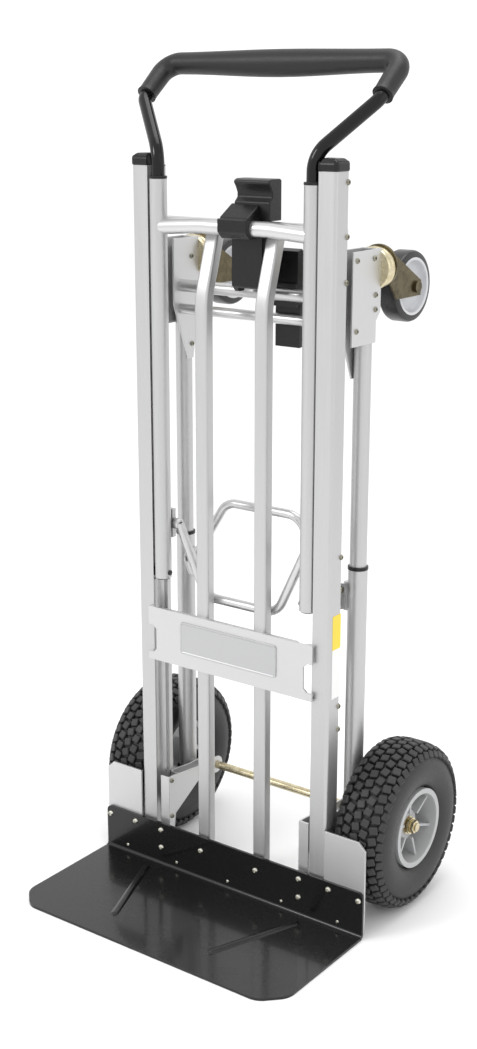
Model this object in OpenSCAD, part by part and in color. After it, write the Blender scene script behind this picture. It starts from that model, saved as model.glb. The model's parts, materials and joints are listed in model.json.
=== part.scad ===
// Folding platform cart: an upright two-wheel truck whose rear leg frame carries two casters.
// X runs across the truck, -Y is the load side, +Z is up. The origin lies on the floor under
// the middle of the outline. Lengths are millimetres.

/* [Overall] */
// Height of the side rails
rail_top = 1086; // [980:1:1180]
// Distance between the outer faces of the two rails
rail_span = 346.4; // [320:0.2:380]
// Side of the square rail section
rail_w = 32; // [28:1:36]

/* [Toe plate] */
// Width of the toe plate
toe_w = 487; // [460:1:520]
// Reach of the toe plate in front of its upright flange
toe_depth = 217.5; // [180:0.5:260]
// Height of the upright flange
flange_h = 74; // [60:1:90]
// Thickness of the toe plate
toe_t = 4; // [3:0.5:5]
// Cut across each front corner
toe_chamfer = 32; // [15:1:45]

/* [Road wheels] */
// Radius of the road wheels
wheel_r = 127; // [110:1:132]
// Width of a road wheel tyre
tyre_w = 86; // [70:1:90]
// Radius of the wheel rim
rim_r = 60; // [50:1:70]
// Radius of the axle rod
axle_r = 6.35; // [5:0.05:8]

/* [Casters] */
// Radius of a caster wheel
caster_r = 50.8; // [40:0.1:55]
// Width of a caster wheel
caster_w = 30; // [24:1:32]
// Height of the swivel axis when the legs are folded
swivel_z = 954; // [900:1:980]
// Distance from the swivel axis to the caster's own axle
caster_trail = 34.5; // [25:0.5:40]

/* [Leg frame] */
// Radius of the lower leg tubes
leg_r = 14.3; // [13.5:0.1:14.5]
// Radius of the telescoping caster tubes
caster_tube_r = 12.5; // [11:0.1:12.8]
// Height of the collars on the lower leg tubes
collar_z = 523; // [480:1:560]

/* [Handle] */
// Radius of the handle tubes
handle_r = 12.5; // [11:0.1:13]
// Height of the lower end of the handle tubes
handle_bottom = 478.7; // [465:0.1:500]
// Height of the upper end of the handle tubes
handle_top = 1068; // [1040:1:1072]
// Radius of the handle bow
bow_r = 9.5; // [8:0.5:10]
// Radius of the foam grip
grip_r = 16.5; // [14:0.5:18]

/* [Fits] */
// Radial clearance of every turning or telescoping fit
run_fit = 0.07; // [0.03:0.01:0.1]
// Gap between neighbours that move past each other
move_gap = 0.8; // [0.4:0.1:1.2]

/* [Hidden] */
$fn = 64;
eps = 0.01;

// Guards, rails and the planes they share
guard_t = 3.5;
guard_top = 151;
rail_front = toe_t + guard_t;
rail_back = rail_front + rail_w;
rail_out = rail_span / 2;
rail_in = rail_out - rail_w;
rail_wall = 2.2;
rail_round = 5;
rib_in = rail_in - 15.2;
rib_edge = rail_in - 4;
rib_t = 8;
rib_front = rail_back - rib_t;

// Handle tubes nest in a cove along each rail's inner front corner
handle_x = rail_in - 9.5;
handle_y = rail_front + 8.2;
cove_r = handle_r + 3;
pivot_z = handle_bottom + 8.5;
pin_r = 4;
groove_w = 8;
groove_out = rail_in + 9.6;
slide_travel = 500;

// Axle and wheels
axle_z = wheel_r;
axle_y = rail_front + move_gap + 0.9 + wheel_r;
wheel_in = rail_out + 1.3;
wheel_out = wheel_in + tyre_w;
nut_x = 243;
rear_y = axle_y + wheel_r;

// Leg frame
leg_x = rail_out - 14.7;
leg_y = axle_y - 32;
leg_bottom = axle_z + 5;
foot_x0 = leg_x - 12.5;
foot_x1 = leg_x + 12.5;
bracket_top = 150;
tube_overlap = 43;
caster_tube_top = swivel_z + 12;

// Two cross bars join the caster brackets
bar_y = 80;
upper_bar_z = 911;
upper_bar_r = 9;
lower_bar_z = 877;
lower_bar_r = 7.5;

// Caster brackets and casters
plate_front = 51;
web_y = 120;
plate_t = 3;
plate_top = 980;
plate_step_z = 888;
plate_bottom = 852;
bracket_in = leg_x - caster_tube_r - plate_t;
bracket_out = leg_x + caster_tube_r;
race_y = web_y + plate_t;
caster_z = swivel_z - caster_trail;
caster_y = rear_y - caster_r;
kingpin_r = 6;

// Stays
stay_r = 7;
stay_corner_x = 65;
rail_stay_y = rib_front + 3.5;
rail_stay_z = 560;
rail_stay_drop = 104.5;
leg_stay_z = 492;
leg_stay_y = leg_y - leg_r - 3;
leg_stay_rise = 98.5;
stay_bolt_r = 3.5;

// Upper cross members
center_x = 52.3;
center_w = 22;
center_t = 18;
center_bend_z = 905;
top_bar_r = 8.5;
top_bar_y = rail_back + top_bar_r;
top_bar_z = 1006;
cross_r = 11;
cross_z = 1006;
cross_end_z = 1001;

// Cross plate
cross_half = 150;
cross_bottom = 348;
cross_top = 433;
cross_front = 0.6;

// Latch
latch_x = 10.5;

// The model is shifted along Y so that the origin is the middle of its outline
shift_y = (toe_depth - rear_y) / 2;

// Colours
silver = [0.82, 0.82, 0.83];
zinc = [0.72, 0.62, 0.36];
black = [0.07, 0.07, 0.08];
hub_grey = [0.72, 0.72, 0.74];
rubber = [0.10, 0.10, 0.10];

// ---- helpers ----

module placed() {
    translate([0, shift_y, 0]) children();
}

// The children are drawn for the right side; side -1 mirrors them to the left
module on_side(side) {
    placed() mirror([side < 0 ? 1 : 0, 0, 0]) children();
}

// A cylinder along X between two X values, at a given Y and Z
module rod_x(x0, x1, y, z, r) {
    translate([x0, y, z]) rotate([0, 90, 0]) cylinder(r = r, h = x1 - x0);
}

// A cylinder along Y between two Y values, at a given X and Z
module rod_y(y0, y1, x, z, r) {
    translate([x, y0, z]) rotate([-90, 0, 0]) cylinder(r = r, h = y1 - y0);
}

// A box from its two opposite corners
module box(low, high) {
    translate(low) cube(high - low);
}

// A flat outline drawn in Y and Z, given thickness along X from x0
module sheet_yz(x0, thick) {
    translate([x0, 0, 0]) rotate([90, 0, 90]) linear_extrude(thick) children();
}

// A flat outline drawn in X and Z, given thickness along Y from y0
module sheet_xz(y0, thick) {
    translate([0, y0 + thick, 0]) rotate([90, 0, 0]) linear_extrude(thick) children();
}

// A rectangle with rounded corners from two opposite corners
module soft_rect(low, high, r) {
    translate([low[0] + r, low[1] + r]) {
        square([high[0] - low[0] - 2 * r, high[1] - low[1] - 2 * r]);
        translate([-r, 0]) square([high[0] - low[0], high[1] - low[1] - 2 * r]);
        translate([0, -r]) square([high[0] - low[0] - 2 * r, high[1] - low[1]]);
        for (x = [0, high[0] - low[0] - 2 * r], y = [0, high[1] - low[1] - 2 * r])
            translate([x, y]) circle(r, $fn = 32);
    }
}

function unit(v) = v / norm(v);

// Points along a path whose inner corners are rounded, each by an arc of steps chords
function rounded(path, bends, steps) = [
    for (i = [0 : len(path) - 1])
        if (i == 0 || i == len(path) - 1) path[i]
        else each corner_arc(path[i - 1], path[i], path[i + 1], bends[i], steps)];

function corner_arc(before, corner, after, bend, steps) =
    let (way_in = unit(corner - before),
        way_out = unit(after - corner),
        angle = acos(way_in * way_out),
        inward = unit(way_out - way_in * (way_in * way_out)),
        start = corner - way_in * bend * tan(angle / 2))
    [for (k = [0 : steps]) start + way_in * bend * sin(angle * k / steps)
        + inward * bend * (1 - cos(angle * k / steps))];

// A round bar through a list of points, with a slightly proud ball at each inner point
module pipe(points, r, proud = 0.04, spin = 0) {
    for (i = [0 : len(points) - 2]) {
        way = unit(points[i + 1] - points[i]);
        translate(points[i]) rotate([0, acos(way[2]), atan2(way[1], way[0])])
            rotate([0, 0, spin]) cylinder(r = r, h = norm(points[i + 1] - points[i]));
    }
    for (i = [1 : len(points) - 2])
        translate(points[i]) rotate([spin, spin / 2, 0]) sphere(r = r + proud);
}

// ---- root frame ----

module rail_section(grow = 0) {
    difference() {
        soft_rect([rail_in - grow, rail_front - grow],
            [rail_out + grow, rail_back + grow], rail_round + grow);
        translate([handle_x, handle_y]) circle(cove_r);
    }
}

module rail(side) {
    color(silver) on_side(side) difference() {
        union() {
            difference() {
                translate([0, 0, toe_t]) linear_extrude(rail_top - toe_t) rail_section();
                // The hollow behind the groove
                box([groove_out + rail_wall, rail_front + rail_wall, toe_t - 1],
                    [rail_out - rail_wall, rail_back - rail_wall, rail_top + 1]);
            }
            box([rib_edge, rib_front, bracket_top + 2], [rail_in + rail_round + 1, rail_back, rail_top - 3]);
            // Lug that carries the pivot of the rail stay
            box([rib_in, rib_front, rail_stay_z - 22], [rail_in, rail_back, rail_stay_z + 22]);
        }
        // Guide groove of the handle sliders
        box([rail_in - 1, handle_y - groove_w / 2, handle_bottom - 6],
            [groove_out, handle_y + groove_w / 2, rail_top + 1]);
        rod_x(rib_in - 1, rail_out + 1, rail_stay_y, rail_stay_z, stay_bolt_r);
    }
}

module rail_cap(side) {
    lip = 1.5;
    crown = 17;
    color(black) on_side(side) {
        translate([0, 0, rail_top]) difference() {
            linear_extrude(crown) rail_section(lip);
            translate([handle_x, handle_y, -1]) cylinder(r = cove_r + 0.8, h = crown + 2);
            // Slopes that round the crown over
            for (tilt = [-1, 1])
                translate([0, (rail_front + rail_back) / 2 + tilt * (rail_w / 2 + lip), crown])
                    rotate([tilt * 45, 0, 0])
                        cube([2 * rail_span, 9, 9], center = true);
            translate([rail_out + lip, 0, crown]) rotate([0, 45, 0])
                cube([9, 4 * rail_w, 9], center = true);
        }
        box([rib_edge - 0.8, rib_front - 0.8, rail_top - 3],
            [rail_in - 0.1, rail_back + 0.8, rail_top + 1]);
    }
}

module top_bar() {
    color(silver) placed() rod_x(-rail_in - 20, rail_in + 20, top_bar_y, top_bar_z, top_bar_r);
}

// Side outline of a centre bar: upright, then leaning back to meet the top bar
module center_bar_outline() {
    back = top_bar_y - rail_front - center_t / 2;
    rise = top_bar_z - center_bend_z;
    lean = atan(back / rise);
    bend_in = 120;
    bend_out = bend_in + center_t;
    hub_y = rail_front + bend_out;
    hub_z = center_bend_z - (bend_in + center_t / 2) * tan(lean / 2);
    steps = 8;
    over = norm([back, rise]) - (bend_in + center_t / 2) * tan(lean / 2);
    tip = [sin(lean), cos(lean)] * over;
    front_arc = [for (k = [0 : steps]) [hub_y - bend_out * cos(lean * k / steps),
        hub_z + bend_out * sin(lean * k / steps)]];
    back_arc = [for (k = [steps : -1 : 0]) [hub_y - bend_in * cos(lean * k / steps),
        hub_z + bend_in * sin(lean * k / steps)]];
    polygon(concat([[rail_front, toe_t]], front_arc, [front_arc[steps] + tip],
        [back_arc[0] + tip], back_arc, [[rail_front + center_t, toe_t]]));
}

module center_bar(side) {
    color(silver) on_side(side) difference() {
        sheet_yz(center_x - center_w / 2, center_w) center_bar_outline();
        rod_x(0, rail_out, top_bar_y, top_bar_z, top_bar_r);
    }
}

module crossplate() {
    web_t = 3;
    color(silver) placed() difference() {
        union() {
            box([-cross_half, cross_front, cross_bottom], [cross_half, cross_front + web_t, cross_top]);
            for (z = [cross_bottom, cross_top - web_t])
                box([-cross_half, cross_front, z], [cross_half, rail_front, z + web_t]);
        }
        // Strap notches at both ends
        for (side = [0, 1]) mirror([side, 0, 0]) sheet_xz(cross_front - 1, rail_front + 2)
            polygon([[135, 366], [135, 398], [141, 404], [160, 404], [160, 360], [141, 360]]);
        // Room for each handle tube
        for (side = [-1, 1])
            translate([side * handle_x, handle_y, cross_bottom - 1])
                cylinder(r = handle_r + move_gap, h = cross_top - cross_bottom + 2);
    }
}

module badge_plate() {
    color(silver) placed() sheet_xz(cross_front - 1.5, 1.5)
        soft_rect([-88, 370], [88, 420], 4);
}

module toe_plate() {
    bend_in = 5;
    flange_corner = 9;
    color(black) placed() {
        difference() {
            rotate([90, 0, 90]) translate([0, 0, -toe_w / 2]) linear_extrude(toe_w) difference() {
                union() {
                    translate([-toe_depth, 0]) square([toe_depth, toe_t]);
                    square([toe_t, flange_h]);
                    translate([-bend_in, 0]) square([bend_in + 1, toe_t + bend_in]);
                }
                translate([-bend_in, toe_t + bend_in]) circle(bend_in);
                difference() {
                    translate([-bend_in, -1]) square([toe_t + bend_in + 1, toe_t + bend_in + 1]);
                    translate([-bend_in, -1]) square([bend_in, toe_t + bend_in + 1]);
                    translate([-bend_in, toe_t + bend_in]) circle(toe_t + bend_in);
                }
            }
            // Front corners, each cut at 45 degrees
            for (side = [-1, 1])
                translate([side * toe_w / 2, -toe_depth, 0]) rotate([0, 0, 45])
                    cube([toe_chamfer * sqrt(2), toe_chamfer * sqrt(2), 20], center = true);
            // Rounded upper corners of the flange
            for (side = [-1, 1]) difference() {
                translate([side * (toe_w / 2 - flange_corner / 2 + 1), 2, flange_h - flange_corner / 2 + 1])
                    cube([flange_corner + 2, 10, flange_corner + 2], center = true);
                rod_y(-9, 9, side * (toe_w / 2 - flange_corner), flange_h - flange_corner, flange_corner);
            }
        }
        for (side = [-1, 1]) toe_dart(side);
    }
}

// A pressed stiffening rib on the toe plate
module toe_dart(side) {
    near = [side * 143, -24, 0];
    far = [side * 90, -162, 0];
    way = unit(far - near);
    dart_r = 7.5;
    intersection() {
        translate(near) rotate([0, 90, atan2(way[1], way[0])]) union() {
            cylinder(r = dart_r, h = norm(far - near));
            sphere(r = dart_r);
            translate([0, 0, norm(far - near)]) sphere(r = dart_r);
        }
        translate([-toe_w / 2, -toe_depth, toe_t - 1]) cube([toe_w, toe_depth, 10]);
    }
}

module guard(side) {
    corner = 12;
    inner = center_x - center_w / 2 - 4;
    color(silver) on_side(side) sheet_xz(toe_t, guard_t) polygon([
        [inner, 10], [toe_w / 2, 10], [toe_w / 2, guard_top - corner],
        [toe_w / 2 - corner, guard_top], [rail_out + 0.2, guard_top],
        [rail_out + 0.2, flange_h - 6], [inner, flange_h - 6]]);
}

// Folded plate that carries the axle behind each rail
module wheel_bracket(side) {
    inner = rib_in - plate_t;
    second = rail_in;
    color(silver) on_side(side) difference() {
        union() {
            for (x = [inner, second]) sheet_yz(x, plate_t) bracket_outline();
            // Front flange beside the rail
            box([inner, rail_front + 4.1, 20], [handle_x + 12, rail_front + 7.1, bracket_top]);
            // Web across the back of the rail
            box([inner, rail_back, 92], [rail_out, rail_back + plate_t, bracket_top - 4]);
        }
        box([second - 1, 0, 0], [rail_out + 1, rail_back, bracket_top + 1]);
        rod_x(0, wheel_out, axle_y, axle_z, axle_r);
    }
}

module bracket_outline() {
    polygon([[rail_front + 4.1, 20], [rail_front + 4.1, bracket_top], [24, bracket_top],
        [axle_y - 50, 142], [axle_y, axle_z + 14], [axle_y + 13, axle_z - 5],
        [axle_y - 8, axle_z - 13], [axle_y - 50, 117], [28, 83], [20, 20]]);
    translate([axle_y, axle_z]) circle(14);
}

module axle() {
    color(zinc) placed() rod_x(-nut_x - 10, nut_x + 10, axle_y, axle_z, axle_r);
}

module axle_nuts() {
    color(zinc) for (side = [-1, 1]) on_side(side) difference() {
        union() {
            translate([nut_x + 0.5, axle_y, axle_z]) rotate([0, 90, 0])
                cylinder(r = 10.5, h = 7.5, $fn = 6);
            rod_x(nut_x - 1.5, nut_x + 0.5, axle_y, axle_z, 13);
        }
        rod_x(nut_x - 3, nut_x + 9, axle_y, axle_z, axle_r);
    }
}

// Places of the flange bolts on the right side, as [x, z]
function toe_bolt_spots() = [[236, 60.5], [184, 62], [131.5, 62], [131.5, 32], [center_x, 50.5]];

module toe_bolts() {
    rivet_pitch = 100.5;
    color(zinc) {
        for (side = [-1, 1], spot = toe_bolt_spots()) on_side(side)
            rod_y(-2.6, 0, spot[0], spot[1], 4.6);
        for (i = [-2 : 2]) placed() rod_y(-1.2, 0, i * rivet_pitch, 15, 2.6);
    }
}

// Heights of the bolts along each rail's outer face
function rail_bolt_heights() = [1072, 1001.5, 941, rail_stay_z, 336.5, 301];

module frame_bolts() {
    color(zinc) for (side = [-1, 1]) on_side(side) {
        for (z = rail_bolt_heights()) rod_x(rail_out, rail_out + 2.2, rail_stay_y, z, 4.2);
        rod_x(rib_in - 12, rail_out, rail_stay_y, rail_stay_z, stay_bolt_r);
        for (z = [143, 82]) rod_x(rib_in - plate_t - 2.5, rib_in - plate_t, rail_front + 10.5, z, 4);
    }
}

module latch_housing() {
    half = 26;
    front = 33;
    back = 60;
    base = 916;
    bevel = 12;
    color(black) placed() difference() {
        box([latch_x - half, front, base], [latch_x + half, back, 1002]);
        rod_x(latch_x - half - 1, latch_x + half + 1, top_bar_y, top_bar_z, top_bar_r);
        for (y = [front, back])
            translate([latch_x, y, base]) rotate([45, 0, 0]) cube([3 * half, bevel, bevel], center = true);
        box([latch_x - half + 8, front + 3, base - 1], [latch_x + half - 8, back - 3, 988]);
    }
}

// ---- road wheels ----

module tyre(side) {
    shoulder = 20;
    color(rubber) on_side(side) translate([0, axle_y, axle_z]) rotate([0, 90, 0])
        rotate_extrude($fn = 96) difference() {
            soft_rect([rim_r, wheel_in], [wheel_r, wheel_out], shoulder);
            // The inner edge is cut square to sit on the rim
            square([rim_r + 0.01, 3 * wheel_out]);
        }
}

module wheel_hub(side) {
    spokes = 5;
    boss_r = 24;
    bearing_r = 14;
    web_x = wheel_in + 38;
    web_t = 6;
    rim_in = rim_r - 7;
    spoke_t = 6;
    color(hub_grey) on_side(side) translate([0, axle_y, axle_z]) {
        rotate([0, 90, 0]) rotate_extrude($fn = 96) polygon([
            [bearing_r, wheel_in + 3], [boss_r, wheel_in + 3], [boss_r, web_x], [rim_in, web_x],
            [rim_in, wheel_in + 18], [rim_r, wheel_in + 18], [rim_r, wheel_out - 18],
            [rim_in + 5, wheel_out - 18], [rim_in + 5, wheel_out - 5], [rim_in, wheel_out - 5],
            [rim_in, web_x + web_t], [boss_r, web_x + web_t], [boss_r, nut_x - 5],
            [bearing_r, nut_x - 5]]);
        for (i = [0 : spokes - 1]) rotate([i * 360 / spokes + 11, 0, 0])
            translate([web_x + web_t / 2, boss_r - 2, -spoke_t / 2])
                cube([26, rim_in - boss_r + 4, spoke_t]);
    }
}

module wheel_bearings(side) {
    color(zinc) on_side(side) for (x = [wheel_in + 3, nut_x - 17]) difference() {
        rod_x(x, x + 12, axle_y, axle_z, 14);
        rod_x(x - 1, x + 13, axle_y, axle_z, axle_r + run_fit);
    }
}

// ---- leg frame ----

module leg_tube(side) {
    color(silver) on_side(side) translate([leg_x, leg_y, leg_bottom]) difference() {
        cylinder(r = leg_r, h = collar_z - leg_bottom);
        translate([0, 0, -1]) cylinder(r = caster_tube_r + run_fit, h = collar_z);
    }
}

module leg_foot(side) {
    plug_h = 30;
    color(black) on_side(side) {
        difference() {
            sheet_yz(foot_x0, foot_x1 - foot_x0) {
                translate([leg_y - 12, axle_z - 14]) square([axle_y - leg_y + 12, 19]);
                translate([axle_y, axle_z]) circle(14);
            }
            translate([leg_x, leg_y, leg_bottom]) cylinder(r = leg_r + eps, h = 60);
            rod_x(0, wheel_in, axle_y, axle_z, axle_r + run_fit);
        }
        translate([leg_x, leg_y, leg_bottom - 1]) cylinder(r = caster_tube_r, h = plug_h);
    }
}

module leg_collar(side) {
    color(black) on_side(side) translate([leg_x, leg_y, collar_z]) difference() {
        cylinder(r = leg_r + 0.9, h = 5);
        translate([0, 0, -1]) cylinder(r = caster_tube_r + run_fit, h = 7);
    }
}

// Ears that carry the leg stay, strapped to the front of each leg tube
module stay_bracket(side) {
    ear_in = leg_x - leg_r - 6;
    color(silver) on_side(side) difference() {
        union() {
            sheet_yz(ear_in, 3) {
                translate([leg_stay_y, leg_stay_z]) circle(10);
                polygon([[leg_stay_y - 9, leg_stay_z + 4], [leg_y + 6, leg_stay_z + 10],
                    [leg_y + 6, leg_stay_z - 34], [leg_stay_y + 2, leg_stay_z - 30],
                    [leg_stay_y - 9, leg_stay_z - 6]]);
            }
            box([ear_in, leg_y - 6, leg_stay_z - 34], [leg_x - leg_r + 2, leg_y + 6, leg_stay_z + 10]);
        }
        translate([leg_x, leg_y, 0]) cylinder(r = leg_r, h = rail_top);
        rod_x(0, rail_out, leg_stay_y, leg_stay_z, stay_bolt_r);
    }
}

module leg_bolts() {
    ear_in = leg_x - leg_r - 6;
    color(zinc) for (side = [-1, 1]) on_side(side) {
        rod_x(ear_in - 11, ear_in + 3, leg_stay_y, leg_stay_z, stay_bolt_r);
        rod_x(ear_in + 3, ear_in + 6, leg_stay_y, leg_stay_z, 5.5);
        for (z = [leg_stay_z - 3, leg_stay_z - 26])
            rod_x(ear_in - 2.5, ear_in, leg_y + 1, z, 3.6);
    }
}

// ---- stays ----

// A U-shaped stay: two eyes, two flared arms and a cross piece, drawn from eyes to cross
module stay(eye_x, y, z, reach) {
    eye_w = 11;
    arm_x = eye_x - 9;
    path = [[-arm_x, y, z], [-stay_corner_x, y, z + reach], [stay_corner_x, y, z + reach],
        [arm_x, y, z]];
    difference() {
        union() {
            pipe(rounded(path, [0, 32, 32, 0], 3), stay_r, 0.3, 52);
            for (side = [-1, 1]) mirror([side < 0 ? 1 : 0, 0, 0])
                rod_x(eye_x - eye_w, eye_x, y, z, 8.5);
        }
        for (side = [-1, 1]) mirror([side < 0 ? 1 : 0, 0, 0])
            rod_x(eye_x - 25, eye_x + 1, y, z, stay_bolt_r + run_fit);
    }
}

module rail_stay() {
    color(silver) placed() stay(rib_in - 2, rail_stay_y, rail_stay_z, -rail_stay_drop);
}

module leg_stay() {
    eye_x = leg_x - leg_r - 6 - 2;
    color(silver) placed() stay(eye_x, leg_stay_y, leg_stay_z, leg_stay_rise);
}

// ---- caster frame ----

module caster_tube(side) {
    low = collar_z - tube_overlap;
    color(silver) on_side(side) translate([leg_x, leg_y, low])
        cylinder(r = caster_tube_r, h = caster_tube_top - low);
}

function caster_bolt_spots() = [[60.5, 968], [104, 968], [109, 918], [109, 898], [61, 873]];

module caster_bracket(side) {
    color(silver) on_side(side) difference() {
        union() {
            sheet_yz(bracket_out, plate_t) polygon([[plate_front, plate_bottom],
                [plate_front, plate_top], [web_y + plate_t, plate_top],
                [web_y + plate_t, plate_step_z + 6], [web_y - 8, plate_step_z - 6],
                [web_y - 8, plate_bottom]]);
            sheet_yz(bracket_in, plate_t) polygon([[plate_front + 12, plate_step_z - 4],
                [plate_front + 12, plate_top], [web_y + plate_t, plate_top],
                [web_y + plate_t, plate_step_z + 6], [leg_y + 4, 800], [leg_y - 8, 800]]);
            box([bracket_in, web_y, plate_step_z + 6], [bracket_out + plate_t, web_y + plate_t, plate_top]);
        }
        rod_y(web_y - 1, race_y + 1, leg_x, swivel_z, kingpin_r);
    }
}

module upper_bar() {
    color(silver) placed() rod_x(-bracket_in, bracket_in, bar_y, upper_bar_z, upper_bar_r);
}

module lower_bar() {
    color(silver) placed() rod_x(-bracket_in, bracket_in, bar_y, lower_bar_z, lower_bar_r);
}

module caster_bolts() {
    color(zinc) for (side = [-1, 1]) on_side(side) {
        for (spot = caster_bolt_spots())
            rod_x(bracket_out + plate_t, bracket_out + plate_t + 2.4, spot[0], spot[1], 4);
        for (z = [leg_stay_z + 330, leg_stay_z + 460])
            rod_x(bracket_in - 2.4, bracket_in, leg_y, z, 4);
    }
}

// Foot lever behind the cross bars that frees the leg frame
module leg_catch() {
    lever_x0 = 20;
    lever_x1 = 62;
    saddle_r = upper_bar_r + 0.5;
    back = bar_y + 28;
    color(black) placed() difference() {
        sheet_yz(lever_x0, lever_x1 - lever_x0) difference() {
            union() {
                translate([bar_y, upper_bar_z]) circle(saddle_r + 7);
                polygon([[bar_y + 4, upper_bar_z], [bar_y + 4, 972], [bar_y + 14, 975],
                    [back, 960], [back, upper_bar_z - 10], [back - 4, 838], [bar_y + 10, 836],
                    [bar_y + 10, lower_bar_z + 12], [bar_y + 12, upper_bar_z - 6]]);
            }
            translate([bar_y, upper_bar_z]) circle(saddle_r);
            translate([bar_y - 40, upper_bar_z - 30]) square([40, 60]);
            translate([bar_y, lower_bar_z]) circle(lower_bar_r + 2);
        }
    }
}

// ---- casters ----

module caster_race(side) {
    color(zinc) on_side(side) {
        box([leg_x - 17, race_y, swivel_z - 32], [leg_x + 17, race_y + 3, swivel_z + 26]);
        rod_y(race_y + 3, race_y + 12, leg_x, swivel_z, 25);
        rod_y(race_y + 12, race_y + 16, leg_x, swivel_z, 28);
        rod_y(race_y - 2, race_y + 27, leg_x, swivel_z, kingpin_r);
        rod_y(race_y + 27, race_y + 31, leg_x, swivel_z, 10);
    }
}

module caster_fork(side) {
    crown_y = race_y + 16.5;
    cheek_in = caster_w / 2 + 2;
    axle_rad = 5;
    color(zinc) on_side(side) {
        difference() {
            union() {
                rod_y(crown_y, crown_y + 4, leg_x, swivel_z, 30);
                rod_y(crown_y + 4, crown_y + 9, leg_x, swivel_z, 26);
                for (x = [leg_x - cheek_in - 3, leg_x + cheek_in]) sheet_yz(x, 3) {
                    polygon([[crown_y + 1, swivel_z + 18], [crown_y + 14, swivel_z + 14],
                        [caster_y + 13, caster_z + 8], [caster_y + 12, caster_z - 13],
                        [crown_y + 20, caster_z - 13], [crown_y + 1, swivel_z - 24]]);
                }
            }
            rod_y(crown_y - 1, crown_y + 20, leg_x, swivel_z, kingpin_r + run_fit);
            rod_x(0, wheel_out, caster_y, caster_z, axle_rad);
        }
        rod_x(leg_x - cheek_in - 5, leg_x + cheek_in + 5, caster_y, caster_z, axle_rad);
        for (x = [leg_x - cheek_in - 7, leg_x + cheek_in + 3]) rod_x(x, x + 4, caster_y, caster_z, 8.5);
    }
}

module caster_tyre(side) {
    color(rubber) on_side(side) translate([0, caster_y, caster_z]) rotate([0, 90, 0])
        rotate_extrude($fn = 96) difference() {
            soft_rect([caster_r - 20, leg_x - caster_w / 2], [caster_r, leg_x + caster_w / 2], 7);
            square([caster_r - 10, 2 * rail_out]);
        }
}

module caster_hub(side) {
    rim = caster_r - 10;
    half = caster_w / 2 - 1;
    color(hub_grey) on_side(side) translate([0, caster_y, caster_z]) rotate([0, 90, 0])
        rotate_extrude($fn = 96) {
            translate([rim - 5, leg_x - half]) square([5, 2 * half]);
            translate([9, leg_x - 4]) square([rim - 12, 8]);
            translate([5 + run_fit, leg_x - caster_w / 2 - 1]) square([7, caster_w + 2]);
        }
}

// ---- handle ----

module handle_sliders() {
    color(black) for (side = [-1, 1]) on_side(side) {
        rod_x(handle_x - handle_r - 1.5, groove_out - 1, handle_y, pivot_z, pin_r);
        box([handle_x + handle_r + 0.4, handle_y - groove_w / 2 + 0.4, pivot_z - 8],
            [groove_out - 0.4, handle_y + groove_w / 2 - 0.4, pivot_z + 8]);
    }
}

module handle_tube(side) {
    wall = 1.6;
    color(silver) on_side(side) difference() {
        translate([handle_x, handle_y, handle_bottom]) difference() {
            cylinder(r = handle_r, h = handle_top - handle_bottom);
            translate([0, 0, -1]) cylinder(r = handle_r - wall, h = handle_top);
        }
        rod_x(0, rail_out, handle_y, pivot_z, pin_r + run_fit);
    }
}

module handle_ends() {
    color(black) for (side = [-1, 1]) on_side(side) translate([handle_x, handle_y, 0]) {
        translate([0, 0, handle_top]) difference() {
            cylinder(r = handle_r + 0.5, h = 4);
            translate([0, 0, -1]) cylinder(r = bow_r, h = 8);
        }
        translate([0, 0, handle_bottom - 2]) cylinder(r = handle_r - 2, h = 2);
    }
}

module handle_cross_tube() {
    bend_x = 62;
    color(silver) placed() difference() {
        pipe([[-handle_x, handle_y, cross_end_z], [-bend_x, handle_y, cross_z],
            [bend_x, handle_y, cross_z], [handle_x, handle_y, cross_end_z]], cross_r, 0.3, 52);
        for (side = [-1, 1])
            translate([side * handle_x, handle_y, handle_bottom])
                cylinder(r = handle_r, h = handle_top);
    }
}

// Corners of the handle bow on the right side, from the handle tube to the grip
bow_foot = [handle_x, handle_y, 1106];
bow_knee = [198.7, 68.2, 1177];
bow_corner = [198.5, 125.5, 1225.4];
bow_bends = [0, 45, 25, 24, 24, 25, 45, 0];

function left_of(p) = [-p[0], p[1], p[2]];
function bow_path(start) = [left_of(start), left_of(bow_foot), left_of(bow_knee),
    left_of(bow_corner), bow_corner, bow_knee, bow_foot, start];

module handle_bow() {
    inside = [handle_x, handle_y, handle_top - 45];
    color(black) placed() pipe(rounded(bow_path(inside), bow_bends, 4), bow_r);
}

module handle_grip() {
    // The grip starts just past each knee
    start = bow_knee + (bow_corner - bow_knee) * 0.1;
    path = [left_of(start), left_of(bow_corner), bow_corner, start];
    inside = [handle_x, handle_y, handle_top];
    color(black) placed() difference() {
        pipe(rounded(path, [0, 24, 24, 0], 4), grip_r);
        pipe(rounded(bow_path(inside), bow_bends, 4), bow_r);
    }
}

// Thumb lever that clips round the cross tube and stands over the top bar
module latch_lever() {
    half = 25;
    lever_foot = top_bar_z + top_bar_r + 1.2;
    lever_top = 1072;
    color(black) placed() difference() {
        union() {
            rod_x(latch_x - half, latch_x + half, handle_y, cross_z, cross_r + 4.5);
            box([latch_x - half, handle_y - 18, cross_z - 5],
                [latch_x + half, handle_y, cross_z + 15.5]);
            box([latch_x - half, handle_y - 4, lever_foot], [latch_x + half, handle_y + 22, cross_z + 22]);
            sheet_yz(latch_x - 19, 60) polygon([[handle_y + 14, lever_foot],
                [handle_y + 14, lever_top - 22], [handle_y + 4, lever_top - 6],
                [handle_y + 6, lever_top], [handle_y + 40, lever_top - 2],
                [handle_y + 43, lever_foot]]);
        }
        rod_x(latch_x - half - 9, latch_x + half + 9, handle_y, cross_z, cross_r + run_fit);
    }
}

// ---- nodes ----

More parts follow.
